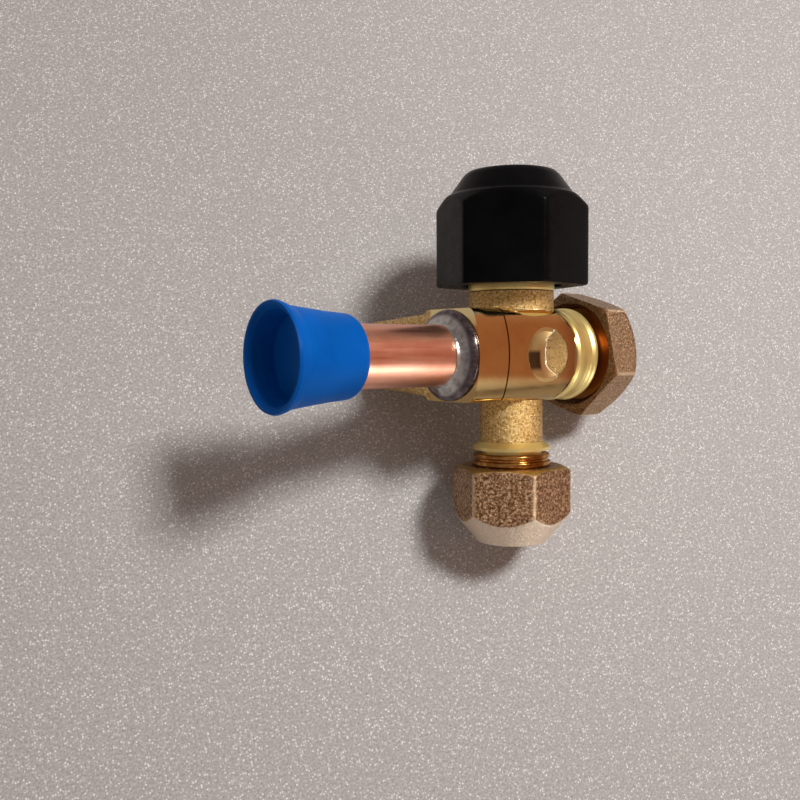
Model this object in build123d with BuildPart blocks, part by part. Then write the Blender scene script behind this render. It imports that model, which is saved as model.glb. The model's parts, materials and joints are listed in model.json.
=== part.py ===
"""Refrigerant service valve: straight body with a brazed tube stub, a flare port with its nut,
a screwed stem under a plastic cap, and a small service port with its own nut.

Every piece is drawn in the valve's own axes, in millimetres: X runs along the flow line, from the
tube stub (-X) to the flare port (+X), Y runs along the stem, towards the stem cap (+Y), and the
mounting foot points to -Z. keep() then lays each piece as the valve rests on a table.
"""
import os
from math import cos, radians, sin

from build123d import *

os.makedirs("parts", exist_ok=True)

# ---------------------------------------------------------------- how the valve lies on the table
LEAN = 26.554        # the tube stub rises by this angle from the table
TILT = 21.207       # the stem rises by this angle towards its cap
CROSSING = (9.97, 0.31, 17.529)  # where the stem and the flow line cross, above the table

# ---------------------------------------------------------------- body
BARREL_D = 14.4            # across its flat top and bottom, and front to back
BARREL_CROWN_R = 16.0      # how gently its milled front and back are rounded
BARREL_EDGE_R = 1.6
BARREL_START = -13.5       # face that the tube enters
SHOULDER_AT = 11.2         # where the rounded shoulder starts
SHOULDER_R = 4.2
FLOW_BORE_D = 6.0
UPPER_NECK_D = 13.7
UPPER_BAND_D = 13.9        # machined band next to the cap
UPPER_NECK_END = 22.0
LOWER_NECK_D = 10.2
LOWER_BAND_AT = 14.0       # machined band next to the service port's thread
FOOT_DEPTH = 22.5
FOOT_LENGTH = 8.6
FOOT_ROOT_W = 14.2
FOOT_TIP_W = 11.5
FOOT_HOLE_D = 4.2          # tapping size for M5
DIMPLE_D = 9.0
DIMPLE_AT = 1.05
DIMPLE_DEEP = 1.3
SCRIBE_AT = -7.4           # fine line round the barrel

# ---------------------------------------------------------------- threads (plain, at full diameter)
THREAD_GAP = 0.05          # radial room between a screw and its nut
CAP_THREAD_D = 12.8
SERVICE_THREAD_D = 11.11
FLARE_THREAD_D = 15.88
STEM_THREAD_D = 8.0
GLAND_THREAD_D = 10.0

# ---------------------------------------------------------------- stem and its packing
STEM_D = 5.6
STEM_TOP = 20.0
HEX_KEY = 3.0
SEAL_GAP = 0.02
PASSAGE_D = 3.6
SEAT_AT = -3.6

# ---------------------------------------------------------------- stem cap
CAP_AF = 21.65
CAP_TURN = 40.3            # how far each hexagon is turned, a corner measured from straight up
CAP_MOUTH = 11.1
CAP_HEX_TOP = 23.5
CAP_CONE_FOOT = 25.6
CAP_CONE_FOOT_R = 10.1
CAP_CONE_TOP = 29.1
CAP_CONE_TOP_R = 7.46
CAP_TOP = 30.0
GASKET_T = 1.2

# ---------------------------------------------------------------- service port, core and nut
SERVICE_THREAD_START = 16.1
SERVICE_NOSE = 26.9
SERVICE_NUT_AF = 17.0
SERVICE_NUT_TURN = -22.1
SERVICE_NUT_START = 16.15
SERVICE_NUT_CORNER = 25.6
SERVICE_NUT_END = 30.6
SERVICE_NUT_END_R = 5.65
CORE_D = 5.2
CORE_SEAT = 16.2
CORE_END = 24.0
PIN_D = 1.2

# ---------------------------------------------------------------- flare port and nut
FLARE_THREAD_START = 14.9
FLARE_NOSE = 21.4
FLARE_NUT_AF = 19.0
FLARE_NUT_TURN = 13.8
FLARE_NUT_START = 13.9
FLARE_NUT_CORNER = 18.7
FLARE_NUT_END = 23.4
FLARE_NUT_END_R = 6.1

# ---------------------------------------------------------------- tube stub, braze and dust cap
TUBE_D = 9.52
TUBE_WALL = 0.8
TUBE_SOCKET = 7.0
TUBE_END = -40.0
BRAZE_R = 6.8
BRAZE_RISE = 1.7
DUST_CAP_GRIP = 7.8        # length of tube that the cap grips
DUST_CAP_FLARE = 4.9       # how far the cap reaches past the tube's end
DUST_CAP_HEEL = TUBE_END + DUST_CAP_GRIP
DUST_CAP_MOUTH = TUBE_END - DUST_CAP_FLARE
DUST_CAP_WEB = TUBE_END    # inner web that stops against the tube's end

HEX_CORNER = 1 / cos(radians(30))
at_rest = Location(CROSSING) * Location((0, 0, 0), (0, LEAN, 0)) * Location(
    (0, 0, 0), (TILT, 0, 0))


def keep(name, solid, colour):
    """Lay a finished piece on the table and write it."""
    placed = at_rest * solid
    placed.label = name
    placed.color = Color(*colour)
    export_step(placed, f"parts/{name}.step")


def turn_about_x(points, mode=Mode.ADD):
    """Turn a closed outline, given as (place along X, radius), about the flow line."""
    with BuildSketch(Plane.XY, mode=Mode.PRIVATE) as outline:
        with BuildLine():
            Polyline(*points, close=True)
        make_face()
    revolve(outline.sketch, axis=Axis.X, mode=mode)


def turn_about_y(points, mode=Mode.ADD):
    """Turn a closed outline, given as (radius, place along Y), about the stem line."""
    with BuildSketch(Plane.XY, mode=Mode.PRIVATE) as outline:
        with BuildLine():
            Polyline(*points, close=True)
        make_face()
    revolve(outline.sketch, axis=Axis.Y, mode=mode)


def arc_points(cx, cy, r, start, end, steps=8):
    """Points on an arc about (cx, cy), angles in degrees."""
    turns = [radians(start + (end - start) * i / steps) for i in range(steps + 1)]
    return [(cx + r * cos(a), cy + r * sin(a)) for a in turns]


BRASS = (0.78, 0.60, 0.30)
BRONZE = (0.62, 0.46, 0.28)
COPPER = (0.75, 0.45, 0.38)
BLACK = (0.03, 0.03, 0.03)
WHITE = (0.92, 0.92, 0.90)
STEEL = (0.70, 0.71, 0.72)

# ================================================================ the forged brass body
barrel_r = BARREL_D / 2
flare_r = FLARE_THREAD_D / 2
service_r = SERVICE_THREAD_D / 2
shoulder = arc_points(SHOULDER_AT, barrel_r - SHOULDER_R, SHOULDER_R, 90, 35)
crown_at = BARREL_CROWN_R - barrel_r


def barrel_section(shrink):
    """The barrel cut across: flat top and bottom, crowned front and back, rounded edges."""
    with BuildSketch(Plane.YZ, mode=Mode.PRIVATE) as section:
        Rectangle(BARREL_D, 2 * BARREL_D)
        for side in (1, -1):
            with Locations((0, -side * crown_at)):
                Circle(BARREL_CROWN_R, mode=Mode.INTERSECT)
        fillet(section.vertices(), BARREL_EDGE_R)
        if shrink:
            offset(amount=-shrink)
    return section.sketch


with BuildPart() as valve_body:
    extrude(Pos(BARREL_START, 0, 0) * barrel_section(0), amount=SHOULDER_AT - BARREL_START)
    extrude(Pos(SCRIBE_AT - 0.1, 0, 0) * (barrel_section(-0.1) - barrel_section(0.08)), amount=0.2,
            mode=Mode.SUBTRACT)
    turn_about_x([(BARREL_START, 0), (BARREL_START, 8.9), (BARREL_START + 0.4, 9.3), (3.0, 9.3), (4.5, 8.8),
                  (6.2, 8.1), (8.0, 7.5), (9.6, barrel_r + 0.02), (SHOULDER_AT, barrel_r), (SHOULDER_AT, 0)],
                 mode=Mode.INTERSECT)
    turn_about_x(
        [(0, 0), (0, barrel_r - 0.2), (8.0, barrel_r)] + shoulder
        + [(FLARE_THREAD_START - 0.1, shoulder[-1][1]), (FLARE_THREAD_START + 0.5, flare_r),
           (FLARE_NOSE - 3.0, flare_r), (FLARE_NOSE - 2.4, 6.3), (FLARE_NOSE, 3.9), (FLARE_NOSE, 0)])
    turn_about_y([(0, 0), (4.5, 0), (4.5, barrel_r - 0.3), (UPPER_NECK_D / 2, barrel_r - 0.3),
                  (UPPER_NECK_D / 2, CAP_MOUTH - 0.9),
                  (UPPER_BAND_D / 2, CAP_MOUTH - 0.5), (UPPER_BAND_D / 2, CAP_MOUTH + 0.9),
                  (CAP_THREAD_D / 2 - 0.6, CAP_MOUTH + 1.3), (CAP_THREAD_D / 2 - 0.6, CAP_MOUTH + 1.7),
                  (CAP_THREAD_D / 2, CAP_MOUTH + 2.2), (CAP_THREAD_D / 2, UPPER_NECK_END - 0.6),
                  (CAP_THREAD_D / 2 - 0.6, UPPER_NECK_END), (0, UPPER_NECK_END)])
    turn_about_y([(0, 0), (4.5, 0), (4.5, 0.3 - barrel_r), (LOWER_NECK_D / 2, 0.3 - barrel_r),
                  (LOWER_NECK_D / 2, -LOWER_BAND_AT),
                  (service_r + 0.75, -LOWER_BAND_AT - 0.9), (service_r + 0.75, -LOWER_BAND_AT - 1.4),
                  (service_r - 0.6, -LOWER_BAND_AT - 1.6), (service_r - 0.6, -SERVICE_THREAD_START),
                  (service_r, -SERVICE_THREAD_START - 0.5), (service_r, -SERVICE_NOSE + 3.2),
                  (4.9, -SERVICE_NOSE + 2.6), (2.9, -SERVICE_NOSE), (0, -SERVICE_NOSE)])
    # mounting foot, drawn in as it goes down
    foot_middle = BARREL_START + 0.2 + FOOT_LENGTH / 2
    with BuildSketch(Plane.XY):
        with Locations((foot_middle, 0)):
            RectangleRounded(FOOT_LENGTH, FOOT_ROOT_W, 1.2)
    with BuildSketch(Plane.XY.offset(-FOOT_DEPTH + 0.8)):
        with Locations((foot_middle, 0)):
            RectangleRounded(FOOT_LENGTH - 1.2, FOOT_TIP_W, 1.2)
    loft()
    with BuildSketch(Plane.XY.offset(-FOOT_DEPTH + 0.8)):
        with Locations((foot_middle, 0)):
            RectangleRounded(FOOT_LENGTH - 1.2, FOOT_TIP_W, 1.2)
    with BuildSketch(Plane.XY.offset(-FOOT_DEPTH)):
        with Locations((foot_middle, 0)):
            RectangleRounded(FOOT_LENGTH - 2.6, FOOT_TIP_W - 1.4, 0.9)
    loft()
    # flow line: tube socket, bore and flared mouth
    with Locations(Location((BARREL_START, 0, 0), (0, 90, 0))):
        Cylinder(TUBE_D / 2 + 0.04, TUBE_SOCKET, align=(Align.CENTER, Align.CENTER, Align.MIN),
                 mode=Mode.SUBTRACT)
        Cylinder(FLOW_BORE_D / 2, FLARE_NOSE - BARREL_START + 1,
                 align=(Align.CENTER, Align.CENTER, Align.MIN), mode=Mode.SUBTRACT)
    # stem bore, packing chamber, valve seat and service passage, all on the stem line
    turn_about_y([(0, UPPER_NECK_END + 1), (GLAND_THREAD_D / 2, UPPER_NECK_END + 1),
                  (GLAND_THREAD_D / 2, 13.2), (STEM_THREAD_D / 2, 13.2), (STEM_THREAD_D / 2, 1.2),
                  (3.4, 0.6), (3.4, SEAT_AT + 1.3), (PASSAGE_D / 2, SEAT_AT - 0.3),
                  (PASSAGE_D / 2, -CORE_SEAT + 0.6), (CORE_D / 2, -CORE_SEAT),
                  (CORE_D / 2, -SERVICE_NOSE - 1), (0, -SERVICE_NOSE - 1)], mode=Mode.SUBTRACT)
    # shallow round dish in the middle of the milled front
    dish_r = (DIMPLE_D ** 2 / 4 + DIMPLE_DEEP ** 2) / (2 * DIMPLE_DEEP)
    with Locations((DIMPLE_AT, 0, barrel_r - DIMPLE_DEEP + dish_r)):
        Sphere(dish_r, mode=Mode.SUBTRACT)
    # blind screw hole in the foot
    with Locations((foot_middle, 0, -FOOT_DEPTH)):
        Cylinder(FOOT_HOLE_D / 2, 9, align=(Align.CENTER, Align.CENTER, Align.MIN), mode=Mode.SUBTRACT)
keep("valve_body", valve_body.part, BRASS)

# ================================================================ copper tube stub, braze, dust cap
tube_r = TUBE_D / 2
with BuildPart() as copper_tube:
    start = BARREL_START + TUBE_SOCKET
    turn_about_x([(start, tube_r - TUBE_WALL), (start, tube_r), (TUBE_END, tube_r),
                  (TUBE_END, tube_r - TUBE_WALL)])
keep("copper_tube", copper_tube.part, COPPER)

with BuildPart() as braze_ring:
    turn_about_x([(BARREL_START, tube_r)]
                 + arc_points(BARREL_START, BRAZE_R - 0.9, 0.9, 90, 150, 5)
                 + [(BARREL_START - 1.5, tube_r + 0.35), (BARREL_START - BRAZE_RISE, tube_r)])
keep("braze_ring", braze_ring.part, STEEL)

with BuildPart() as dust_cap:
    grip_r = tube_r + 0.02
    turn_about_x([(DUST_CAP_HEEL, grip_r), (DUST_CAP_HEEL, 4.95)]
                 + arc_points(DUST_CAP_HEEL - 1.3, 4.9, 1.3, 10, 90, 6)
                 + [(DUST_CAP_HEEL - 4.5, 6.45), (DUST_CAP_HEEL - 8.6, 6.95),
                    (DUST_CAP_MOUTH + 2.2, 7.2), (DUST_CAP_MOUTH + 1.2, 7.6),
                    (DUST_CAP_MOUTH + 0.4, 7.85), (DUST_CAP_MOUTH, 7.7), (DUST_CAP_MOUTH, 7.3),
                    (DUST_CAP_MOUTH + 0.8, 6.7), (DUST_CAP_MOUTH + 2.2, 6.3),
                    (DUST_CAP_WEB - 1.0, 6.0), (DUST_CAP_WEB - 1.0, 0), (DUST_CAP_WEB, 0),
                    (DUST_CAP_WEB, grip_r)])
keep("dust_cap", dust_cap.part, (0.05, 0.35, 0.72))

# ================================================================ stem, its seal and its packing
stem_r = STEM_D / 2
seal_foot = 0.9
with BuildPart() as stem:
    turn_about_y([(0, seal_foot), (1.1, seal_foot), (1.1, seal_foot + 1.6), (stem_r, seal_foot + 1.6),
                  (stem_r, 6.2), (STEM_THREAD_D / 2 - THREAD_GAP, 6.6),
                  (STEM_THREAD_D / 2 - THREAD_GAP, 12.6), (stem_r, 12.9), (stem_r, STEM_TOP - 0.4),
                  (stem_r - 0.4, STEM_TOP), (0, STEM_TOP)])
    with BuildSketch(Plane.XZ.offset(-STEM_TOP)):
        RegularPolygon(HEX_KEY / 2, 6, major_radius=False)
    extrude(amount=3.5, mode=Mode.SUBTRACT)
keep("stem", stem.part, STEEL)

with BuildPart() as seat_seal:
    bore = 1.1 + SEAL_GAP
    turn_about_y([(bore, seal_foot + 1.58), (2.9, seal_foot + 1.58), (2.9, seal_foot + 0.9),
                  (1.9, seal_foot + 0.1), (bore, seal_foot + 0.1)])
keep("seat_seal", seat_seal.part, WHITE)

chamber_r = GLAND_THREAD_D / 2
with BuildPart() as stem_packing:
    turn_about_y([(stem_r + SEAL_GAP, 13.2), (chamber_r - 0.02, 13.2), (chamber_r - 0.02, 15.4),
                  (stem_r + SEAL_GAP, 15.4)])
keep("stem_packing", stem_packing.part, WHITE)

with BuildPart() as packing_washer:
    turn_about_y([(stem_r + 0.06, 15.4), (chamber_r - 0.05, 15.4), (chamber_r - 0.05, 16.0),
                  (stem_r + 0.06, 16.0)])
keep("packing_washer", packing_washer.part, STEEL)

with BuildPart() as gland_nut:
    turn_about_y([(stem_r + 0.08, 16.0), (chamber_r - 0.03, 16.0), (chamber_r - 0.03, 19.6),
                  (chamber_r - 0.4, 20.0), (stem_r + 0.5, 20.0), (stem_r + 0.08, 19.6)])
    with Locations((0, 20.0, 0)):
        Box(GLAND_THREAD_D + 1, 1.6, 1.4, align=(Align.CENTER, Align.MAX, Align.CENTER),
            mode=Mode.SUBTRACT)
keep("gland_nut", gland_nut.part, BRASS)

# ================================================================ plastic stem cap and its gasket
cap_bore = CAP_THREAD_D / 2 + THREAD_GAP
cap_corner = CAP_AF / 2 * HEX_CORNER
cap_ceiling = UPPER_NECK_END + GASKET_T
with BuildPart() as stem_cap:
    with BuildSketch(Plane((0, CAP_MOUTH, 0), x_dir=(0, 0, 1), z_dir=(0, 1, 0))):
        RegularPolygon(CAP_AF / 2, 6, major_radius=False, rotation=CAP_TURN)
    extrude(amount=CAP_TOP - CAP_MOUTH)
    turn_about_y([(0, CAP_MOUTH), (cap_corner - 0.35, CAP_MOUTH), (cap_corner, CAP_MOUTH + 0.35),
                  (cap_corner, CAP_HEX_TOP), (cap_corner - 0.9, CAP_HEX_TOP + 0.9),
                  (CAP_CONE_FOOT_R + 0.5, CAP_CONE_FOOT - 0.15), (CAP_CONE_FOOT_R, CAP_CONE_FOOT),
                  (CAP_CONE_TOP_R + 0.35, CAP_CONE_TOP - 0.35), (CAP_CONE_TOP_R - 0.3, CAP_CONE_TOP + 0.25),
                  (CAP_CONE_TOP_R - 2.6, CAP_TOP - 0.25), (0, CAP_TOP)], mode=Mode.INTERSECT)
    turn_about_y([(0, CAP_MOUTH - 1), (8.4, CAP_MOUTH - 1), (8.2, CAP_MOUTH + 1.6), (cap_bore, CAP_MOUTH + 2.2),
                  (cap_bore, cap_ceiling), (0, cap_ceiling)], mode=Mode.SUBTRACT)
keep("stem_cap", stem_cap.part, BLACK)

with BuildPart() as stem_cap_gasket:
    turn_about_y([(4.2, UPPER_NECK_END), (cap_bore - 0.05, UPPER_NECK_END), (cap_bore - 0.05, cap_ceiling),
                  (4.2, cap_ceiling)])
keep("stem_cap_gasket", stem_cap_gasket.part, BLACK)

# ================================================================ valve core in the service port
core_r = CORE_D / 2
pin_r = PIN_D / 2
shelf = CORE_END - 3.5     # the core's inner shelf, which the spring stands on
with BuildPart() as core_seal:
    turn_about_y([(0.95, -CORE_SEAT), (core_r - 0.03, -CORE_SEAT - 0.02), (core_r - 0.03, -CORE_SEAT - 1.2),
                  (0.95, -CORE_SEAT - 1.2)])
keep("core_seal", core_seal.part, BLACK)

with BuildPart() as core_body:
    turn_about_y([(1.5, -CORE_SEAT - 1.2), (core_r - 0.03, -CORE_SEAT - 1.2), (core_r - 0.03, -CORE_END),
                  (1.5, -CORE_END), (1.5, -shelf), (pin_r + 0.05, -shelf),
                  (pin_r + 0.05, -shelf + 0.6), (1.5, -shelf + 0.6)])
keep("core_body", core_body.part, BRASS)

with BuildPart() as core_pin:
    turn_about_y([(0, -CORE_SEAT + 0.9), (1.35, -CORE_SEAT + 0.9), (1.35, -CORE_SEAT + 0.01),
                  (pin_r, -CORE_SEAT + 0.01), (pin_r, -CORE_END + 0.4), (1.3, -CORE_END + 0.4),
                  (1.3, -CORE_END - 0.1), (pin_r, -CORE_END - 0.1), (pin_r, -CORE_END - 0.6),
                  (0, -CORE_END - 0.6)])
keep("core_pin", core_pin.part, STEEL)

spring_wire = 0.3
spring_foot = -CORE_END + 0.4 + spring_wire / 2
spring_height = CORE_END - 0.4 - shelf - spring_wire
with BuildPart() as core_spring:
    with BuildLine() as coil:
        Helix(pitch=spring_height / 4, height=spring_height, radius=1.0, center=(0, spring_foot, 0),
              direction=(0, 1, 0))
    with BuildSketch(Plane(coil.line @ 0, z_dir=coil.line % 0)):
        Circle(spring_wire / 2)
    sweep(is_frenet=True)
keep("core_spring", core_spring.part, STEEL)

# ================================================================ service nut and its bonnet
nut_corner = SERVICE_NUT_AF / 2 * HEX_CORNER
nut_bore = service_r + THREAD_GAP
with BuildPart() as service_nut:
    with BuildSketch(Plane((0, -SERVICE_NUT_END, 0), x_dir=(0, 0, 1), z_dir=(0, 1, 0))):
        RegularPolygon(SERVICE_NUT_AF / 2, 6, major_radius=False, rotation=SERVICE_NUT_TURN)
    extrude(amount=SERVICE_NUT_END - SERVICE_NUT_START)
    turn_about_y([(0, -SERVICE_NUT_START), (nut_corner - 1.3, -SERVICE_NUT_START),
                  (nut_corner, -SERVICE_NUT_START - 0.75), (nut_corner, -SERVICE_NUT_CORNER),
                  (SERVICE_NUT_END_R + 0.3, -SERVICE_NUT_END + 0.4), (SERVICE_NUT_END_R, -SERVICE_NUT_END),
                  (0, -SERVICE_NUT_END)], mode=Mode.INTERSECT)
    turn_about_y([(0, -SERVICE_NUT_START + 1), (nut_bore + 0.7, -SERVICE_NUT_START + 1),
                  (nut_bore + 0.7, -SERVICE_NUT_START - 0.3), (nut_bore, -SERVICE_NUT_START - 1.0),
                  (nut_bore, -SERVICE_NOSE + 2.6), (5.4, -SERVICE_NOSE + 1.5), (3.3, -SERVICE_NOSE - 0.9),
                  (3.3, -SERVICE_NUT_END - 1), (0, -SERVICE_NUT_END - 1)], mode=Mode.SUBTRACT)
keep("service_nut", service_nut.part, BRONZE)

with BuildPart() as service_bonnet:
    # a pressed copper cone that closes the port, domed through the nut's end
    turn_about_y([(0, -SERVICE_NOSE - 0.05), (2.9, -SERVICE_NOSE - 0.02), (4.9, -SERVICE_NOSE + 2.56),
                  (5.3, -SERVICE_NOSE + 1.85), (3.25, -SERVICE_NOSE - 0.9), (3.0, -SERVICE_NOSE - 1.5),
                  (0, -SERVICE_NOSE - 1.9)])
keep("service_bonnet", service_bonnet.part, COPPER)

# ================================================================ flare nut and its bonnet
flare_corner = FLARE_NUT_AF / 2 * HEX_CORNER
flare_bore = flare_r + THREAD_GAP
with BuildPart() as flare_nut:
    with BuildSketch(Plane((FLARE_NUT_START, 0, 0), x_dir=(0, 0, 1), z_dir=(1, 0, 0))):
        RegularPolygon(FLARE_NUT_AF / 2, 6, major_radius=False, rotation=FLARE_NUT_TURN)
    extrude(amount=FLARE_NUT_END - FLARE_NUT_START)
    turn_about_x([(FLARE_NUT_START, 0), (FLARE_NUT_START, flare_corner - 0.8),
                  (FLARE_NUT_START + 0.5, flare_corner), (FLARE_NUT_CORNER, flare_corner),
                  (FLARE_NUT_END - 0.4, FLARE_NUT_END_R + 0.4), (FLARE_NUT_END, FLARE_NUT_END_R),
                  (FLARE_NUT_END, 0)], mode=Mode.INTERSECT)
    turn_about_x([(FLARE_NUT_START - 1, 0), (FLARE_NUT_START - 1, flare_bore + 0.7),
                  (FLARE_NUT_START + 0.2, flare_bore + 0.7), (FLARE_NUT_START + 1.0, flare_bore),
                  (FLARE_NOSE - 2.4, flare_bore), (FLARE_NOSE - 1.6, 6.9), (FLARE_NOSE + 1.0, 4.3),
                  (FLARE_NUT_END + 1, 4.3), (FLARE_NUT_END + 1, 0)], mode=Mode.SUBTRACT)
keep("flare_nut", flare_nut.part, BRONZE)

with BuildPart() as flare_bonnet:
    turn_about_x([(FLARE_NOSE + 0.05, 0), (FLARE_NOSE + 0.02, 3.9), (FLARE_NOSE - 2.36, 6.3),
                  (FLARE_NOSE - 1.62, 6.85), (FLARE_NOSE + 0.98, 4.25), (FLARE_NOSE + 1.4, 3.9),
                  (FLARE_NOSE + 1.7, 0)])
keep("flare_bonnet", flare_bonnet.part, COPPER)
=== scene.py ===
"""The looks of a refrigerant service valve: turned and forged brass, bronze nuts, a copper stub,
a silver braze, a black cap and a blue dust cap. It gives the CAD's plain threads their ridges, the
hexagon pieces their rounded edges, and the body its turned rings.

Shapes are worked out in the valve's own axes, in millimetres: x along the flow line towards the
flare port, y along the stem towards its cap, z away from the mounting foot. placed() takes them
to the frame that the CAD uses.
"""

import json
import math

import bpy
import mathutils
import numpy as np
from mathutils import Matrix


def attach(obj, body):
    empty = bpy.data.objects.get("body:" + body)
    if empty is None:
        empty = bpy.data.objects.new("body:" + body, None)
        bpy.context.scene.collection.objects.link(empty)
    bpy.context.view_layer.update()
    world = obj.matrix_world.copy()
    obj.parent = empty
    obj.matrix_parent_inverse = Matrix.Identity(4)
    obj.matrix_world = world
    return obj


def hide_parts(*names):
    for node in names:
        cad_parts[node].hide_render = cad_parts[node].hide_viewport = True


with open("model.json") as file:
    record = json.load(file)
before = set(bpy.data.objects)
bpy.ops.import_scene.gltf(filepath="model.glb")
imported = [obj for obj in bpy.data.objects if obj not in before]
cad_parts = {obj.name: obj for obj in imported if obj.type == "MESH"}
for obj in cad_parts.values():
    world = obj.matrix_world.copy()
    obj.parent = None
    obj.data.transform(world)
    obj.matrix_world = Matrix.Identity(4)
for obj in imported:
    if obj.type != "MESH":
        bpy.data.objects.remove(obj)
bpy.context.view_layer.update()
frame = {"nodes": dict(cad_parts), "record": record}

# ------------------------------------------------------------------ the valve's own axes
joints = {j["name"]: j for j in frame["record"]["behaviour"]["joints"]}
ALONG = np.array(joints["flare_nut_turn"]["axis"], float)   # flow line, towards the flare port
STEM = np.array(joints["stem_cap_turn"]["axis"], float)     # stem line, towards the stem cap
AWAY = np.cross(ALONG, STEM)                                # away from the mounting foot
NUT_PIVOT = 0.017                                           # metres along ALONG from the crossing
CROSSING = np.array(joints["flare_nut_turn"]["pos_m"], float) - NUT_PIVOT * ALONG
AXES = np.array([ALONG, STEM, AWAY])
TAU = 2 * math.pi
SHARP = math.radians(32.0)      # edges that turn by more than this are shaded as sharp
EDGE = 70.0                     # how crisply a hexagon's flats and cones meet
ROOT = 0.4                      # depth in mm that a thread ring goes below its ridges' foot


def placed(points):
    """Takes points (..., 3) in valve millimetres to metres in the CAD's frame."""
    return CROSSING + (points @ AXES) / 1000


# ------------------------------------------------------------------ camera
camera = bpy.data.objects.new("camera", bpy.data.cameras.new("camera"))
bpy.context.collection.objects.link(camera)
camera.location = (-0.0399, -0.03808, 0.1566)
camera.rotation_euler = [math.radians(a) for a in (15.972, -8.726, -13.238)]
camera.data.sensor_width = 36.0
camera.data.lens = 41.62
camera.data.clip_start = 0.01
bpy.context.scene.camera = camera


# ------------------------------------------------------------------ shapes
def surface(name, rings, first_pole, last_pole, material):
    """A closed surface through rings (n, m, 3), in valve millimetres, each ring running once round.

    Vertex i * m + k is ring i at step k. Each pole is one vertex that closes an end, and quads join
    ring i to ring i + 1, with ring n joined back to ring 0 where there are no poles.
    """
    n, m = rings.shape[:2]
    points = rings.reshape(-1, 3)
    k = np.arange(m)
    nxt = (k + 1) % m
    last = n if first_pole is None else n - 1
    row = np.arange(last)[:, None]
    below = ((row + 1) % n) * m
    quads = np.stack([row * m + k, row * m + nxt, below + nxt, below + k], axis=-1).reshape(-1, 4)
    loops = quads.reshape(-1)
    sizes = np.full(len(quads), 4)
    if first_pole is not None:
        points = np.vstack([points, first_pole, last_pole])
        fan_a = np.stack([np.full(m, n * m), nxt, k], axis=-1)
        fan_b = np.stack([np.full(m, n * m + 1), (n - 1) * m + k, (n - 1) * m + nxt], axis=-1)
        loops = np.concatenate([loops, fan_a.reshape(-1), fan_b.reshape(-1)])
        sizes = np.concatenate([sizes, np.full(2 * m, 3)])
    mesh = bpy.data.meshes.new(name)
    mesh.vertices.add(len(points))
    mesh.vertices.foreach_set("co", placed(points).astype(np.float32).reshape(-1))
    mesh.loops.add(len(loops))
    mesh.loops.foreach_set("vertex_index", loops.astype(np.int32))
    mesh.polygons.add(len(sizes))
    mesh.polygons.foreach_set("loop_start", (np.cumsum(sizes) - sizes).astype(np.int32))
    mesh.polygons.foreach_set("loop_total", sizes.astype(np.int32))
    mesh.update(calc_edges=True)
    mesh.validate()
    mesh.polygons.foreach_set("use_smooth", np.ones(len(sizes), bool))
    mesh.set_sharp_from_angle(angle=SHARP)
    piece = bpy.data.objects.new(name, mesh)
    bpy.context.collection.objects.link(piece)
    piece.data.materials.append(material)
    return piece


def softened(profile, step, reach=0.25):
    """A profile (n, 2) resampled every step, each corner cut back by reach and rounded.

    Round a corner B between A and C the curve is the parabola (1-t)^2 P + 2t(1-t) B + t^2 Q,
    where P and Q lie reach away from B on its two sides, or half a side where a side is short.
    """
    profile = np.asarray(profile, float)
    a, b, c = profile[:-2], profile[1:-1], profile[2:]
    back = np.minimum(reach, 0.5 * np.linalg.norm(b - a, axis=1)) / np.linalg.norm(b - a, axis=1)
    ahead = np.minimum(reach, 0.5 * np.linalg.norm(c - b, axis=1)) / np.linalg.norm(c - b, axis=1)
    p, q = b + (a - b) * back[:, None], b + (c - b) * ahead[:, None]
    t = np.linspace(0, 1, 5)[None, :, None]
    bends = (1 - t) ** 2 * p[:, None] + 2 * t * (1 - t) * b[:, None] + t ** 2 * q[:, None]
    path = np.vstack([profile[:1], bends.reshape(-1, 2), profile[-1:]])
    run = np.r_[0, np.cumsum(np.linalg.norm(np.diff(path, axis=0), axis=1))]
    even = np.arange(0, run[-1], step)
    where = np.unique(np.round(np.r_[even, run], 4))
    return np.stack([np.interp(where, run, path[:, 0]), np.interp(where, run, path[:, 1])], axis=1)


def hexagon(angle, across, turn, corner=90.0):
    """Distance from the middle to a hexagon's edge at each angle, its corners rounded.

    (across / 2) / (sum over the six faces k of max(cos(angle - k 60 - turn), 0)^corner)^(1/corner).
    """
    faces = np.radians(turn + 60.0 * np.arange(6))
    lean = np.maximum(np.cos(angle[..., None] - faces), 0.0)
    return across / 2 / np.sum(lean ** corner, axis=-1) ** (1 / corner)


def thread(radius, height, pitch, place, angle, start, stop):
    """A right-hand thread's surface: a rounded ridge over radius, fading in over its first turn.

    radius + height * clip(1.25 v - 0.12, 0, 1), v = 0.5 + 0.5 cos(2 pi place / pitch - angle).
    """
    wave = 0.5 + 0.5 * np.cos(TAU * place / pitch - angle)
    fade = np.clip((place - start) / pitch, 0, 1) * np.clip((stop - place) / pitch, 0, 1)
    return radius + height * np.clip(1.25 * wave - 0.12, 0, 1) * fade


def round_about(radius, place, angle, line):
    """Points at that radius and place along the flow line ("x") or the stem line ("y")."""
    across, up = radius * np.sin(angle), radius * np.cos(angle)
    if line == "x":
        return np.stack([place + 0 * angle, -across, up], axis=-1)
    return np.stack([across, place + 0 * angle, up], axis=-1)


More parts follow.
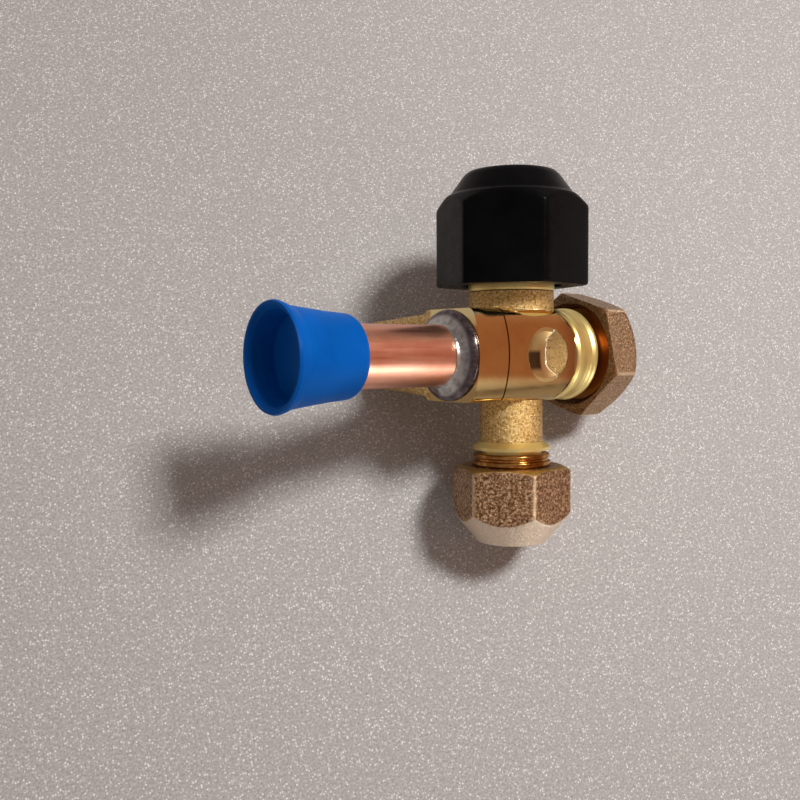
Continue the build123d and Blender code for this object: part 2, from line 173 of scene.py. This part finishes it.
def hex_piece(name, node, line, outside, inside, capped, across, turn, cut, material, steps=300):
    """A hexagon under a turned outline, with a threaded bore, as one closed surface.

    outside and inside are (place, radius) along the wall, each starting where the other ends.
    Outside, the distance from the middle is (hexagon^-p + outline^-p)^(-1/p) with p = EDGE, which
    is whichever is less, with the edge between them rounded. The bore carries the thread in cut:
    its radius, height, pitch, start and stop. A capped piece has its bore first, and poles at the
    bore's ceiling and at its own top.
    """
    angle = np.linspace(0, TAU, steps, endpoint=False)[None, :]
    wall = softened(outside, 0.3, 0.3)
    bore = softened(inside, 0.14, 0.1)[0 if capped else 1:-1]
    shell = (hexagon(angle, across, turn) ** -EDGE + wall[:, 1:2] ** -EDGE) ** (-1 / EDGE)
    place, hole = bore[:, 0:1], bore[:, 1:2] + 0 * angle
    radius, height, pitch, start, stop = cut
    threaded = (np.abs(hole - radius) < 0.03) & (place > start) & (place < stop)
    hole = np.where(threaded, thread(radius, height, pitch, place, angle, start, stop), hole)
    walls = [round_about(shell, wall[:, 0:1], angle, line), round_about(hole, place, angle, line)]
    if capped:
        ends = [round_about(np.zeros(1), np.array([end]), np.zeros(1), line)
                for end in (bore[0, 0], wall[-1, 0])]
        piece = surface(name, np.concatenate(walls[::-1]), ends[0], ends[1], material)
    else:
        piece = surface(name, np.concatenate(walls), None, None, material)
    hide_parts(node)
    return piece


def thread_ring(name, line, radius, height, pitch, start, stop, material, steps=300):
    """The ridges of an outside thread, as one closed ring that stands on a plain cylinder.

    Outside it is thread(); inside, a plain cylinder ROOT below the ridges' foot.
    """
    angle = np.linspace(0, TAU, steps, endpoint=False)[None, :]
    place = np.arange(start, stop + 1e-6, pitch / 12)[:, None]
    ridge = thread(radius, height, pitch, place, angle, start, stop)
    foot = radius - ROOT + 0 * angle
    rings = np.concatenate([round_about(ridge, place, angle, line),
                            round_about(foot, place[[-1]], angle, line),
                            round_about(foot, place[[0]], angle, line)])
    return surface(name, rings, None, None, material)


def turned_ring(name, line, outline, material, steps=240):
    """A plain turned ring: a rounded outline of (place, radius) swept about the line."""
    angle = np.linspace(0, TAU, steps, endpoint=False)[None, :]
    path = softened(outline, 0.2, 0.1)[:-1]
    radius = path[:, 1:2] + 0 * angle
    return surface(name, round_about(radius, path[:, 0:1], angle, line), None, None, material)


def wavy_ring(name, node, outline, sway, material, steps=300):
    """A turned outline about the flow line whose edge wanders: radius + sway * w(angle).

    w is a sum of three sines of 2, 3 and 7 waves a turn; along the flow line the same sum, about a
    quarter turn on, moves each ring's place. Both grow over the first millimetre from the outline's
    first place, where the ring stands on the body.
    """
    angle = np.linspace(0, TAU, steps, endpoint=False)[None, :]
    path = softened(outline, 0.16, 0.25)[:-1]

    def wander(a):
        return 0.5 * np.sin(2 * a + 0.7) + 0.35 * np.sin(3 * a + 2.1) + 0.15 * np.sin(7 * a + 0.4)

    share = np.clip(outline[0][0] - path[:, 0:1], 0, 1)
    radius = path[:, 1:2] + sway * 0.5 * wander(angle) * share
    place = path[:, 0:1] + sway * wander(angle + 1.6) * share
    piece = surface(name, round_about(radius, place, angle, "x"), None, None, material)
    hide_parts(node)
    return piece


# ------------------------------------------------------------------ materials
def new_material(name, colour, metallic, roughness):
    material = bpy.data.materials.new(name)
    material.use_nodes = True
    tree = material.node_tree
    shader = tree.nodes["Principled BSDF"]
    shader.inputs["Base Color"].default_value = (*colour, 1)
    shader.inputs["Metallic"].default_value = metallic
    shader.inputs["Roughness"].default_value = roughness
    return material, tree, shader


def coordinates(tree):
    """Object coordinates, in metres."""
    return tree.nodes.new("ShaderNodeTexCoord").outputs["Object"]


def valve_coordinates(tree):
    """Object coordinates in the valve's own axes, in millimetres: a vector and its x, y, z."""
    where = tree.nodes.new("ShaderNodeTexCoord")
    mapping = tree.nodes.new("ShaderNodeMapping")
    mapping.inputs["Scale"].default_value = (1000, 1000, 1000)
    mapping.inputs["Rotation"].default_value = mathutils.Matrix(AXES.tolist()).to_euler()
    mapping.inputs["Location"].default_value = tuple(-1000 * (AXES @ CROSSING))
    tree.links.new(where.outputs["Object"], mapping.inputs["Vector"])
    split = tree.nodes.new("ShaderNodeSeparateXYZ")
    tree.links.new(mapping.outputs["Vector"], split.inputs["Vector"])
    return mapping.outputs["Vector"], split.outputs["X"], split.outputs["Y"], split.outputs["Z"]


def reckon(tree, operation, first, second=0.0):
    """One Math node; each value is a number or another node's output."""
    node = tree.nodes.new("ShaderNodeMath")
    node.operation = operation
    for socket, value in zip(node.inputs, (first, second)):
        if isinstance(value, (int, float)):
            socket.default_value = value
        else:
            tree.links.new(value, socket)
    return node.outputs["Value"]


def times(tree, first, second):
    return reckon(tree, "MULTIPLY", first, second)


def plus(tree, first, second):
    return reckon(tree, "ADD", first, second)


def minus(tree, first, second):
    return reckon(tree, "SUBTRACT", first, second)


def greater(tree, first, second):
    return reckon(tree, "MAXIMUM", first, second)


def distance(tree, first, second):
    """The distance from a line, from the two coordinates across it."""
    squares = plus(tree, times(tree, first, first), times(tree, second, second))
    return reckon(tree, "SQRT", squares)


def rising(tree, value, low, high):
    """0 below low, 1 above high and smooth between; falling where high is less than low."""
    node = tree.nodes.new("ShaderNodeMapRange")
    node.interpolation_type = "SMOOTHSTEP"
    flip = high < low
    node.inputs["From Min"].default_value = min(low, high)
    node.inputs["From Max"].default_value = max(low, high)
    node.inputs["To Min"].default_value = 1.0 if flip else 0.0
    node.inputs["To Max"].default_value = 0.0 if flip else 1.0
    tree.links.new(value, node.inputs["Value"])
    return node.outputs["Result"]


def blended(tree, share, first, second):
    """first where share is 0, second where it is 1; colours as tuples or outputs."""
    node = tree.nodes.new("ShaderNodeMix")
    node.data_type = "RGBA"
    tree.links.new(share, node.inputs["Factor"])
    for socket, value in ((node.inputs[6], first), (node.inputs[7], second)):
        if isinstance(value, tuple):
            socket.default_value = (*value, 1)
        else:
            tree.links.new(value, socket)
    return node.outputs[2]


def painted(tree, share, strength, under, paint):
    """under, covered with paint by share times strength."""
    return blended(tree, times(tree, share, strength), under, paint)


def noise(tree, vector, scale, detail=3.0, roughness=0.55):
    node = tree.nodes.new("ShaderNodeTexNoise")
    node.inputs["Scale"].default_value = scale
    node.inputs["Detail"].default_value = detail
    node.inputs["Roughness"].default_value = roughness
    tree.links.new(vector, node.inputs["Vector"])
    return node.outputs["Fac"]


def ramp(tree, value, stops):
    """A colour or grey ramp through (place, colour) stops."""
    node = tree.nodes.new("ShaderNodeValToRGB")
    elements = node.color_ramp.elements
    while len(elements) < len(stops):
        elements.new(0.5)
    for element, (place, colour) in zip(elements, stops):
        element.position = place
        element.color = (*colour, 1) if len(colour) == 3 else (colour[0],) * 3 + (1,)
    tree.links.new(value, node.inputs["Fac"])
    return node.outputs["Color"]


def bump(tree, shader, height, depth):
    """A height from 0 to 1 that stands out by depth, in metres."""
    node = tree.nodes.new("ShaderNodeBump")
    node.inputs["Distance"].default_value = depth
    tree.links.new(height, node.inputs["Height"])
    tree.links.new(node.outputs["Normal"], shader.inputs["Normal"])


def mottled(tree, shader, socket, value, stops):
    tree.links.new(ramp(tree, value, stops), shader.inputs[socket])


def granular_metal(name, dark, mid, light, grain, height, rough):
    """Blasted or as-forged metal: fine pits and crumbs, each crumb its own shade."""
    material, tree, shader = new_material(name, mid, 1.0, 0.4)
    vector = coordinates(tree)
    crumbs = noise(tree, vector, grain, 4.0, 0.72)
    mottled(tree, shader, "Base Color", crumbs, [(0.36, dark), (0.5, mid), (0.62, light)])
    mottled(tree, shader, "Roughness", noise(tree, vector, grain * 0.45, 2.0),
            [(0.3, (rough - 0.08,)), (0.7, (rough + 0.1,))])
    bump(tree, shader, crumbs, height)
    return material


def nut_bronze(name, axis, shades, cones, corner, grain):
    """A nut's blasted hexagon between two turned cones; axis 0 or 1 is the line it turns about.

    Each cone is (place, radius there, slope, colour): its colour shows where the surface lies on
    it, and on the flat face beyond it. Some of these colours are painted light: the service nut's
    end cone, bare turned metal, is made paler still as a painted reflection, and the flare nut's
    near face is painted shade. shades are the blasting's dark, middle and light. The hexagon's
    edges, near the corner radius, carry a painted highlight.
    """
    material, tree, shader = new_material(name, (0.5, 0.3, 0.15), 1.0, 0.4)
    outputs = valve_coordinates(tree)
    vector, place, beside, ahead = outputs[0], outputs[1 + axis], outputs[2 - axis], outputs[3]
    radius = distance(tree, beside, ahead)
    crumbs = noise(tree, vector, grain, 4.0, 0.72)
    metal = ramp(tree, crumbs, list(zip((0.36, 0.5, 0.62), shades)))
    for start, first, slope, shade in cones:
        cone = plus(tree, times(tree, minus(tree, place, start), slope), first)
        share = rising(tree, minus(tree, radius, cone), -0.3, -0.12)
        metal = painted(tree, share, 0.75, metal, shade)
    # Painted highlight along the hexagon's edges.
    painted_edge_highlight = rising(tree, radius, 0.972 * corner, 0.990 * corner)
    metal = painted(tree, painted_edge_highlight, 0.7, metal, (0.98, 0.76, 0.50))
    tree.links.new(metal, shader.inputs["Base Color"])
    mottled(tree, shader, "Roughness", noise(tree, vector, 1.0, 2.0),
            [(0.3, (0.28,)), (0.7, (0.44,))])
    bump(tree, shader, crumbs, 0.0002)
    return material


def body_brass():
    """The body: bright where it is milled or turned, as forged elsewhere, in the valve's own axes.

    Each zone is a share from 0 to 1. front is the milled front between the necks, shoulder the
    turned part before the flare port, end the barrel's face round the stub, and ports the bands and
    threads of the two necks. bright is the greatest of the four. In the dish, the part towards the
    flare port keeps its forged floor behind a ragged edge with a pale painted highlight along it,
    and the smooth part has a dark painted shadow. A scribed line crosses the front. The turned
    barrel has painted shade along its lower side and a painted highlight along its upper side, and
    the shoulder's end beside the flare nut is painted dark as painted shade.
    """
    dish_middle, dish_inside, dish_rim = 1.3, 4.3, 4.5
    floor_edge, line_place = 1.2, 7.4
    material, tree, shader = new_material("body_brass", (0.85, 0.62, 0.28), 1.0, 0.2)
    vector, x, y, z = valve_coordinates(tree)
    ragged = noise(tree, vector, 1.6, 3.0)
    high = reckon(tree, "ABSOLUTE", y)

    front = times(tree, rising(tree, high, 7.3, 7.05), rising(tree, z, 0.5, 1.5))
    shoulder = times(tree, rising(tree, x, 7.4, 8.0), rising(tree, high, 8.4, 8.2))
    end = times(tree, rising(tree, x, -12.9, -13.2), rising(tree, z, -5.0, -4.0))
    ports = greater(tree, rising(tree, y, 10.1, 10.3), rising(tree, y, -13.9, -14.1))
    bright = greater(tree, greater(tree, front, shoulder), greater(tree, ports, end))
    satin_part = greater(tree, shoulder, ports)

    radius = distance(tree, minus(tree, x, dish_middle), y)
    beside = reckon(tree, "ABSOLUTE", minus(tree, y, 0.4))
    slope = greater(tree, minus(tree, beside, 2.3), 0.0)
    edge = minus(tree, x, plus(tree, slope, times(tree, ragged, 0.9)))
    in_dish = times(tree, rising(tree, radius, dish_rim, dish_inside), rising(tree, z, 4.5, 5.0))
    forged_floor = times(tree, in_dish, rising(tree, edge, floor_edge, 1.3))
    smooth_floor = times(tree, in_dish, rising(tree, edge, floor_edge, 1.1))
    # The pale band along the forged floor's edge is a painted highlight.
    painted_lip_highlight = times(tree, in_dish, times(tree, rising(tree, edge, 1.1, floor_edge),
                                     rising(tree, edge, 1.6, 1.4)))
    bright = times(tree, bright, minus(tree, 1.0, forged_floor))
    # The dark patch in the smooth part of the dish is a painted shadow.
    stain_and_shadow = times(tree, times(tree, smooth_floor, rising(tree, x, 1.0, 0.3)),
                  times(tree, rising(tree, y, 1.0, 0.2), rising(tree, y, -2.8, -1.9)))
    scribed = times(tree, rising(tree, reckon(tree, "ABSOLUTE", plus(tree, x, line_place)),
                                 0.24, 0.1), front)

    crumbs = noise(tree, vector, 2.5, 4.0, 0.74)
    forged = ramp(tree, crumbs, [(0.36, (0.36, 0.19, 0.05)), (0.5, (0.78, 0.50, 0.17)),
                                 (0.62, (1.0, 0.80, 0.42))])
    forged = painted(tree, in_dish, 0.75, forged, (0.30, 0.19, 0.075))
    tarnish = noise(tree, vector, 0.16, 4.0, 0.6)
    turned = ramp(tree, tarnish, [(0.3, (0.78, 0.50, 0.20)), (0.55, (0.86, 0.60, 0.26)),
                                  (0.75, (0.92, 0.70, 0.34))])
    # Painted shade along the barrel's lower side, and a painted highlight along its upper side.
    turned = painted(tree, rising(tree, y, -3.6, -5.6), 0.8, turned, (0.36, 0.24, 0.10))
    turned = painted(tree, rising(tree, y, 4.6, 6.4), 0.8, turned, (0.98, 0.84, 0.46))
    turned = painted(tree, rising(tree, x, 4.0, 7.0), 0.45, turned, (0.34, 0.18, 0.12))
    gold = ramp(tree, tarnish, [(0.3, (0.86, 0.66, 0.24)), (0.7, (1.0, 0.84, 0.36))])
    # The dark shoulder end beside the flare nut is painted shade in the gap.
    gold = blended(tree, rising(tree, x, 12.3, 12.6), gold, (0.40, 0.17, 0.05))
    colour = blended(tree, bright, forged, blended(tree, satin_part, turned, gold))
    colour = painted(tree, smooth_floor, 0.4, colour, (0.50, 0.36, 0.17))
    # Painted shadow in the dish.
    colour = painted(tree, stain_and_shadow, 0.95, colour, (0.07, 0.026, 0.008))
    colour = painted(tree, scribed, 0.8, colour, (0.12, 0.05, 0.02))
    # Painted highlight along the dish's ragged edge.
    tree.links.new(blended(tree, painted_lip_highlight, colour, (1.0, 0.88, 0.62)), shader.inputs["Base Color"])

    gloss = ramp(tree, noise(tree, vector, 0.5, 4.0), [(0.3, (0.07,)), (0.7, (0.14,))])
    grit = ramp(tree, noise(tree, vector, 1.2, 2.0), [(0.3, (0.24,)), (0.7, (0.42,))])
    satin = blended(tree, greater(tree, satin_part, smooth_floor), gloss, (0.36, 0.36, 0.36))
    tree.links.new(blended(tree, bright, grit, satin), shader.inputs["Roughness"])
    dulled = times(tree, times(tree, satin_part, rising(tree, x, 12.6, 12.3)), 0.2)
    tree.links.new(minus(tree, 1.0, dulled), shader.inputs["Metallic"])
    lines = noise(tree, coordinates(tree), 2500.0, 2.0)
    relief = plus(tree, times(tree, crumbs, minus(tree, 1.0, bright)), times(tree, lines, 0.02))
    bump(tree, shader, relief, 0.00022)
    return material


def turned_brass():
    """Bright turned brass with a warm tarnish in patches."""
    material, tree, shader = new_material("turned_brass", (0.83, 0.60, 0.27), 1.0, 0.16)
    vector = coordinates(tree)
    tarnish = noise(tree, vector, 160.0, 4.0, 0.6)
    mottled(tree, shader, "Base Color", tarnish,
            [(0.3, (0.66, 0.40, 0.15)), (0.55, (0.80, 0.54, 0.23)), (0.75, (0.90, 0.66, 0.32))])
    mottled(tree, shader, "Roughness", noise(tree, vector, 350.0, 5.0, 0.65),
            [(0.3, (0.14,)), (0.7, (0.26,))])
    bump(tree, shader, noise(tree, vector, 900.0, 3.0), 0.000004)
    return material


def satin_copper():
    """Drawn copper: a pink bloom, and faint streaks along the tube."""
    material, tree, shader = new_material("satin_copper", (0.86, 0.50, 0.38), 1.0, 0.3)
    vector = valve_coordinates(tree)[0]
    drawn = tree.nodes.new("ShaderNodeVectorMath")
    drawn.operation = "MULTIPLY"
    drawn.inputs[1].default_value = (0.05, 1.0, 1.0)
    tree.links.new(vector, drawn.inputs[0])
    streaks = noise(tree, drawn.outputs["Vector"], 1.3, 4.0, 0.6)
    bloom = noise(tree, vector, 0.22, 5.0, 0.6)
    stain_and_shadow = plus(tree, times(tree, streaks, 0.45), times(tree, bloom, 0.55))
    mottled(tree, shader, "Base Color", stain_and_shadow,
            [(0.34, (0.84, 0.36, 0.24)), (0.5, (0.95, 0.46, 0.32)), (0.66, (0.98, 0.54, 0.40))])
    mottled(tree, shader, "Roughness", streaks, [(0.3, (0.27,)), (0.7, (0.36,))])
    bump(tree, shader, stain_and_shadow, 0.00002)
    return material


def braze_silver():
    """Silver braze, bright where it ran down to the tube and sooty round its outer edge."""
    material, tree, shader = new_material("braze_silver", (0.70, 0.68, 0.66), 1.0, 0.25)
    vector, _, y, z = valve_coordinates(tree)
    radius = distance(tree, y, z)
    flux = noise(tree, vector, 0.8, 4.0, 0.6)
    soot = rising(tree, plus(tree, radius, times(tree, flux, 0.8)), 6.3, 6.9)
    silver = ramp(tree, flux, [(0.35, (0.34, 0.33, 0.32)), (0.6, (0.66, 0.63, 0.61))])
    dark = ramp(tree, flux, [(0.35, (0.10, 0.075, 0.08)), (0.6, (0.22, 0.18, 0.19)),
                             (0.75, (0.26, 0.24, 0.32))])
    tree.links.new(blended(tree, soot, silver, dark), shader.inputs["Base Color"])
    mottled(tree, shader, "Roughness", flux, [(0.3, (0.16,)), (0.7, (0.34,))])
    bump(tree, shader, flux, 0.00006)
    return material


def moulded(name, colour, roughness, grain, patch, under=0.0, gloss=0.5):
    """Moulded plastic: an even colour with a faint cloud in it, orange-peel and handling marks."""
    material, tree, shader = new_material(name, colour, 0.0, roughness)
    vector = coordinates(tree)
    cloud = noise(tree, vector, patch, 3.0)
    deep = tuple(c * 0.82 for c in colour)
    pale = tuple(min(1.0, c * 1.12 + 0.002) for c in colour)
    mottled(tree, shader, "Base Color", cloud, [(0.3, deep), (0.7, pale)])
    mottled(tree, shader, "Roughness", noise(tree, vector, patch * 4, 4.0),
            [(0.3, (roughness - 0.06,)), (0.7, (roughness + 0.08,))])
    bump(tree, shader, noise(tree, vector, grain, 2.0), 0.000006)
    shader.inputs["Specular IOR Level"].default_value = gloss
    shader.inputs["Subsurface Weight"].default_value = under
    shader.inputs["Subsurface Scale"].default_value = 0.001
    return material


BODY = body_brass()
TURNED = turned_brass()
THREADS = granular_metal("thread_brass", (0.40, 0.20, 0.08), (0.66, 0.40, 0.16), (0.84, 0.58, 0.26),
                         1500.0, 0.00003, 0.26)
SERVICE = nut_bronze(
    "service_nut_bronze", 1, [(0.11, 0.05, 0.02), (0.34, 0.18, 0.085), (0.80, 0.55, 0.34)],
    # The end cone's pale colour is the turned chamfer's bare metal, made paler still as a painted
    # reflection of the lit floor.
    [(-30.2, 5.95, 0.8402, (1.0, 0.86, 0.70)), (-18.7, 9.815, -2.69, (0.62, 0.44, 0.12))],
    corner=9.815, grain=2.3)
FLARE = nut_bronze(
    "flare_nut_bronze", 0, [(0.18, 0.09, 0.04), (0.36, 0.22, 0.115), (0.64, 0.45, 0.29)],
    # The first cone's dark colour is painted shade on the nut's face towards the body.
    [(13.9, 10.17, 1.6, (0.26, 0.11, 0.045)), (18.7, 10.97, -1.0395, (0.60, 0.40, 0.27))],
    corner=10.97, grain=3.2)
COLLAR = granular_metal("collar_brass", (0.26, 0.11, 0.025), (0.46, 0.22, 0.055),
                        (0.68, 0.38, 0.12), 300.0, 0.000004, 0.16)
COPPER = satin_copper()
SILVER = braze_silver()
BLACK = moulded("black_plastic", (0.0016, 0.0016, 0.002), 0.28, 2500.0, 90.0, gloss=0.06)
BLUE = moulded("blue_plastic", (0.0, 0.102, 0.455), 0.42, 900.0, 120.0, under=0.5, gloss=0.05)
RUBBER = moulded("black_rubber", (0.02, 0.02, 0.02), 0.7, 3000.0, 200.0)
WHITE = moulded("white_seal", (0.82, 0.81, 0.78), 0.45, 2500.0, 150.0)
STEEL = granular_metal("machined_steel", (0.42, 0.42, 0.43), (0.62, 0.62, 0.63), (0.80, 0.80, 0.81),
                       900.0, 0.00002, 0.28)

# ------------------------------------------------------------------ pieces
stem_cap = hex_piece(
    "stem_cap_shell", "stem_cap", "y",
    [(11.1, 9.2), (11.1, 12.15), (11.45, 12.5), (23.5, 12.5), (24.4, 11.6), (25.45, 10.6),
     (25.6, 10.1), (28.75, 7.81), (29.35, 7.16), (29.75, 4.86), (30.0, 0.05)],
    [(23.2, 0.05), (23.2, 6.45), (13.3, 6.45), (12.7, 8.2), (11.1, 8.38), (11.1, 9.2)],
    capped=True, across=21.65, turn=70.3, cut=(6.45, 0.42, 1.5, 13.4, 22.2), material=BLACK)
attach(stem_cap, "stem_cap")
service_nut = hex_piece(
    "service_nut_shell", "service_nut", "y",
    [(-30.6, 4.4), (-30.6, 5.65), (-30.2, 5.95), (-25.6, 9.815), (-18.7, 9.815), (-18.1, 8.2),
     (-18.1, 7.2)],
    [(-18.1, 7.2), (-18.1, 6.305), (-18.3, 6.305), (-19.0, 5.605), (-24.3, 5.605), (-25.4, 5.4),
     (-27.8, 3.3), (-30.6, 3.3), (-30.6, 4.4)],
    capped=False, across=17.0, turn=7.9, cut=(5.605, 0.42, 1.27, -24.2, -18.8), material=SERVICE)
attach(service_nut, "service_nut")
flare_nut = hex_piece(
    "flare_nut_shell", "flare_nut", "x",
    [(13.9, 9.3), (13.9, 10.17), (14.4, 10.97), (18.7, 10.97), (23.0, 6.5), (23.4, 6.1),
     (23.4, 5.2)],
    [(23.4, 5.2), (23.4, 4.3), (22.4, 4.3), (19.8, 6.9), (19.0, 7.99), (14.9, 7.99), (14.1, 8.69),
     (13.9, 8.69), (13.9, 9.3)],
    capped=False, across=19.0, turn=47.8, cut=(7.99, 0.42, 1.411, 14.8, 19.0), material=FLARE)
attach(flare_nut, "flare_nut")

cap_thread = thread_ring("cap_thread", "y", 6.39, 0.3, 1.5, 13.3, 20.8, THREADS)
service_thread = thread_ring("service_thread", "y", 5.545, 0.3, 1.27, -23.7, -16.6, THREADS)
flare_thread = thread_ring("flare_thread", "x", 7.93, 0.3, 1.411, 15.4, 18.4, THREADS)
braze = wavy_ring(
    "braze_fillet", "braze_ring",
    [(-13.4, 5.6), (-13.4, 7.1), (-13.75, 7.14), (-14.3, 6.75), (-14.7, 6.1), (-15.0, 5.5),
     (-15.4, 5.0), (-15.9, 4.80), (-15.9, 4.70), (-13.4, 4.70), (-13.4, 5.6)],
    sway=0.18, material=SILVER)
collar = turned_ring(
    "service_collar", "y",
    [(-16.0, 5.2), (-16.0, 6.0), (-16.15, 6.25), (-16.6, 6.3), (-16.8, 5.95), (-17.05, 5.95),
     (-17.25, 6.4), (-17.85, 6.4), (-18.0, 6.2), (-18.0, 5.2), (-16.0, 5.2)], COLLAR)
shoulder = turned_ring(
    "shoulder_ring", "x",
    [(7.1, 6.2), (7.1, 6.9), (7.5, 7.4), (8.3, 7.74), (9.2, 7.66), (10.2, 7.48), (11.2, 7.48),
     (11.8, 7.78), (12.3, 7.82), (12.5, 7.6), (12.5, 6.2), (7.1, 6.2)], BODY)
for piece in (cap_thread, service_thread, flare_thread, braze, collar, shoulder):
    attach(piece, "valve")

finishes = {
    "valve_body": BODY, "gland_nut": TURNED, "core_body": TURNED, "copper_tube": COPPER,
    "service_bonnet": COPPER, "flare_bonnet": COPPER, "dust_cap": BLUE, "stem_cap_gasket": RUBBER,
    "core_seal": RUBBER, "seat_seal": WHITE, "stem_packing": WHITE, "packing_washer": STEEL,
    "stem": STEEL, "core_pin": STEEL, "core_spring": STEEL,
}
for node, material in finishes.items():
    slots = frame["nodes"][node].material_slots
    if slots:
        slots[0].material = material
    else:
        frame["nodes"][node].data.materials.append(material)


# ------------------------------------------------------------------ floor, lamps and world
def floor_material():
    """Grey foam with small glints: a cell glints near its middle, where its own chance is high."""
    material, tree, shader = new_material("floor", (0.60, 0.58, 0.57), 0.0, 0.6)
    vector = coordinates(tree)
    foam = ramp(tree, noise(tree, vector, 2600.0, 2.0, 0.7),
                [(0.35, (0.31, 0.298, 0.293)), (0.65, (0.50, 0.48, 0.47))])
    cells = tree.nodes.new("ShaderNodeTexVoronoi")
    cells.inputs["Scale"].default_value = 2600.0
    tree.links.new(vector, cells.inputs["Vector"])
    chance = tree.nodes.new("ShaderNodeSeparateXYZ")
    tree.links.new(cells.outputs["Color"], chance.inputs["Vector"])
    # The glints are painted into the foam's colour as painted highlights.
    glint = times(tree, rising(tree, cells.outputs["Distance"], 0.6, 0.1),
                  rising(tree, chance.outputs["X"], 0.35, 1.2))
    tree.links.new(blended(tree, glint, foam, (1.0, 0.98, 0.97)), shader.inputs["Base Color"])
    return material


def flat_sheet(name, half, height):
    mesh = bpy.data.meshes.new(name)
    corners = np.array([[-half, -half, height], [half, -half, height], [half, half, height],
                        [-half, half, height]])
    mesh.from_pydata(corners.tolist(), [], [(0, 1, 2, 3)])
    sheet = bpy.data.objects.new(name, mesh)
    bpy.context.collection.objects.link(sheet)
    return sheet


floor = flat_sheet("floor", 2.0, 0.0)
floor.data.materials.append(floor_material())


def area_lamp(name, place, target, size, power, colour):
    lamp = bpy.data.objects.new(name, bpy.data.lights.new(name, "AREA"))
    bpy.context.collection.objects.link(lamp)
    lamp.data.size = size
    lamp.data.energy = power
    lamp.data.color = colour
    lamp.location = place
    aim = np.array(target) - np.array(place)
    lamp.rotation_euler = (math.acos(-aim[2] / np.linalg.norm(aim)), 0,
                           math.atan2(aim[1], aim[0]) - math.pi / 2)


area_lamp("key_lamp", place=(0.284, 0.130, 0.627), target=(0.0, 0.0, 0.01),
          size=0.13, power=4.0, colour=(1.0, 0.98, 0.96))
area_lamp("fill_lamp", place=(0.25, -0.43, 0.06), target=(0.0, 0.0, 0.02),
          size=0.2, power=0.7, colour=(1.0, 0.97, 0.93))


def towards(tree, where, way):
    """How nearly the world's direction points that way: 1 straight at it, 0 square to it."""
    facing = tree.nodes.new("ShaderNodeVectorMath")
    facing.operation = "DOT_PRODUCT"
    way = np.array(way)
    facing.inputs[1].default_value = tuple(way / np.linalg.norm(way))
    tree.links.new(where, facing.inputs[0])
    return facing.outputs["Value"]


def room_light():
    """A dim room, seen by the object but not by the camera, which sees an even grey.

    A warm brown wall stands low down towards +X, the rest is grey, and a pale patch lies low
    towards +X and -Y.
    """
    wall, patch = (0.88, -0.325, 0.339), (0.62, -0.78, 0.06)
    patch_colour, backdrop = (0.8, 0.75, 0.70), (0.62, 0.60, 0.59)
    world = bpy.data.worlds.new("room")
    world.use_nodes = True
    tree = world.node_tree
    where = tree.nodes.new("ShaderNodeTexCoord").outputs["Generated"]
    shade = ramp(tree, rising(tree, towards(tree, where, wall), 0.3, 0.95),
                 [(0.0, (0.34, 0.29, 0.27)), (0.45, (0.36, 0.30, 0.22)), (0.8, (0.42, 0.20, 0.12)),
                  (1.0, (0.40, 0.18, 0.11))])
    shade = blended(tree, rising(tree, towards(tree, where, patch), 0.93, 0.985), shade,
                    patch_colour)
    seen = tree.nodes.new("ShaderNodeLightPath")
    shade = blended(tree, seen.outputs["Is Camera Ray"], shade, backdrop)
    background = tree.nodes["Background"]
    tree.links.new(shade, background.inputs["Color"])
    background.inputs["Strength"].default_value = 0.8
    return world


bpy.context.scene.world = room_light()
bpy.context.scene.view_settings.view_transform = "Standard"
